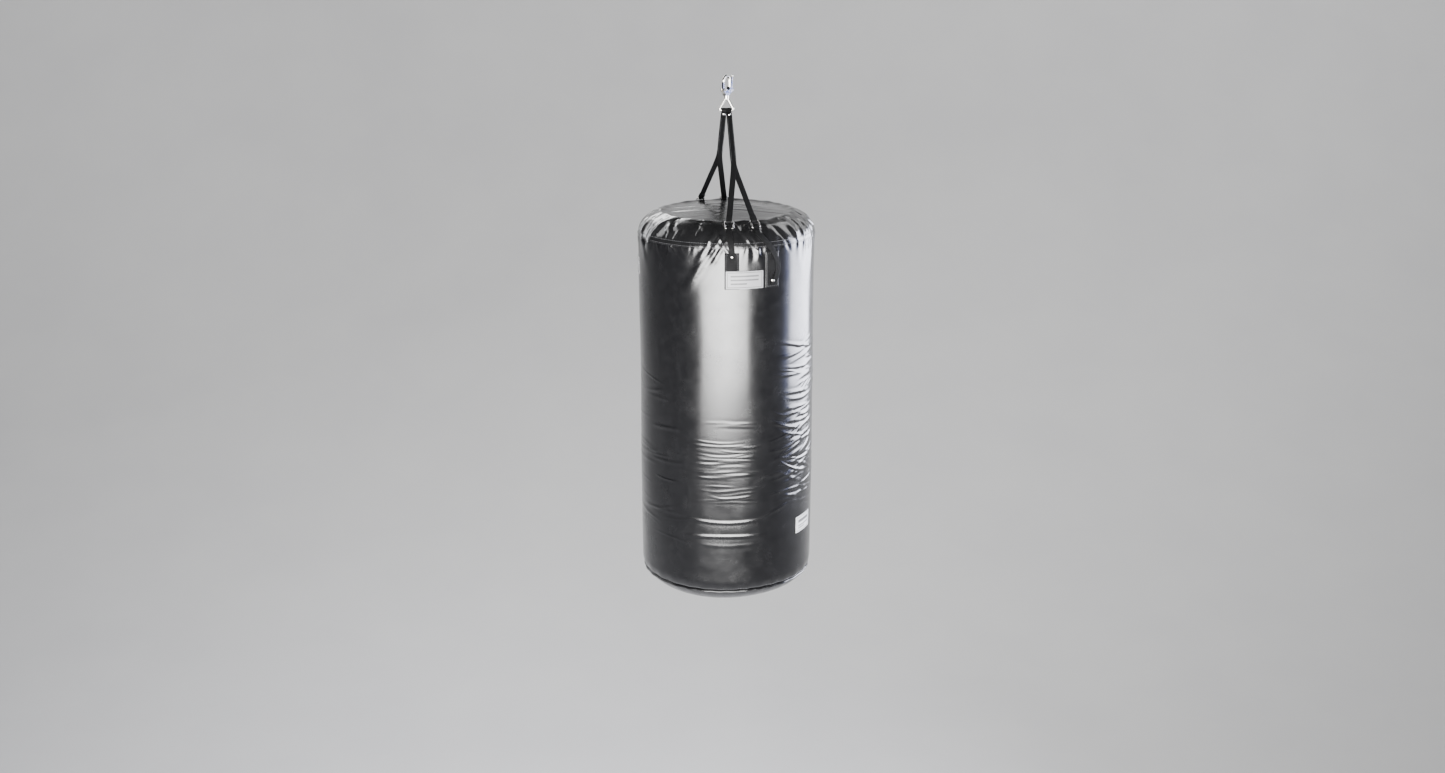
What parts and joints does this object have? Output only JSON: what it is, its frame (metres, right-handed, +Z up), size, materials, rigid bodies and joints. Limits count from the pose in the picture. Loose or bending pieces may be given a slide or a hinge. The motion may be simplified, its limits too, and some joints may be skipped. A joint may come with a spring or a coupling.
{
  "type": "hanging punching bag",
  "caption": "Cylindrical heavy bag hung on webbing legs and rings from a swivelling bail under a gated snap hook.",
  "frame": {"origin": "where the ceiling eye bears inside the snap hook's crown, on the bag's axis", "axes": "+Z up along the bag's axis, front of the bag (the main label) towards -Y, +X to the right seen from the front"},
  "size_m": [0.3518, 0.3582, 1.0425],
  "materials": {
    "plated_steel": "polished nickel",
    "spring_steel": "drawn wire",
    "webbing": "woven black webbing",
    "vinyl": "glossy black vinyl",
    "patch_vinyl": "matt black vinyl",
    "foam": "closed-cell foam",
    "fibre": "shredded textile",
    "silver_label": "satin silver print",
    "white_label": "woven label"
  },
  "bodies": {
    "hook": {"hook": "plated_steel", "gate_pin": "plated_steel", "lever_pin": "plated_steel", "gate_spring": "spring_steel"},
    "gate": {"gate": "plated_steel"},
    "lever": {"thumb_lever": "plated_steel"},
    "swivel": {"bail": "plated_steel", "swivel_washer": "plated_steel"},
    "bag": {"loop_rivets": "plated_steel", "front_left_ring": "plated_steel", "front_left_rivet": "plated_steel", "front_left_anchor": "webbing", "front_left_patch": "patch_vinyl", "front_right_ring": "plated_steel", "front_right_rivet": "plated_steel", "front_right_anchor": "webbing", "front_right_patch": "patch_vinyl", "back_left_ring": "plated_steel", "back_left_rivet": "plated_steel", "back_left_anchor": "webbing", "back_left_patch": "patch_vinyl", "back_right_ring": "plated_steel", "back_right_rivet": "plated_steel", "back_right_anchor": "webbing", "back_right_patch": "patch_vinyl", "front_strap": "webbing", "back_strap": "webbing", "top_cap": "vinyl", "side_shell": "vinyl", "bottom_panel": "vinyl", "cap_binding": "vinyl", "foot_piping": "vinyl", "foam_liner": "foam", "fibre_fill": "fibre", "front_label": "silver_label", "side_label": "silver_label", "low_label": "white_label"}
  },
  "joints": [
    {"name": "gate_hinge", "type": "hinge", "parent": "hook", "child": "gate", "pos_m": [-0.00649, -0.00375, -0.023], "axis": [-0.5, 0.866, 0], "range_deg": [0, 25], "stiffness_Nm_per_rad": 0.03, "springref_deg": -20.05},
    {"name": "lever_hinge", "type": "hinge", "parent": "hook", "child": "lever", "pos_m": [0.01074, 0.0062, -0.0245], "axis": [0.5, -0.866, 0], "range_deg": [0, 6], "stiffness_Nm_per_rad": 0.03, "springref_deg": -20.05},
    {"name": "swivel_spin", "type": "hinge", "parent": "hook", "child": "swivel", "pos_m": [0, 0, -0.0345], "axis": [0, 0, 1], "continuous": true},
    {"name": "bag_swing", "type": "hinge", "parent": "swivel", "child": "bag", "pos_m": [0, 0, -0.0625], "axis": [1, 0, 0], "range_deg": [-40, 40]}
  ]
}
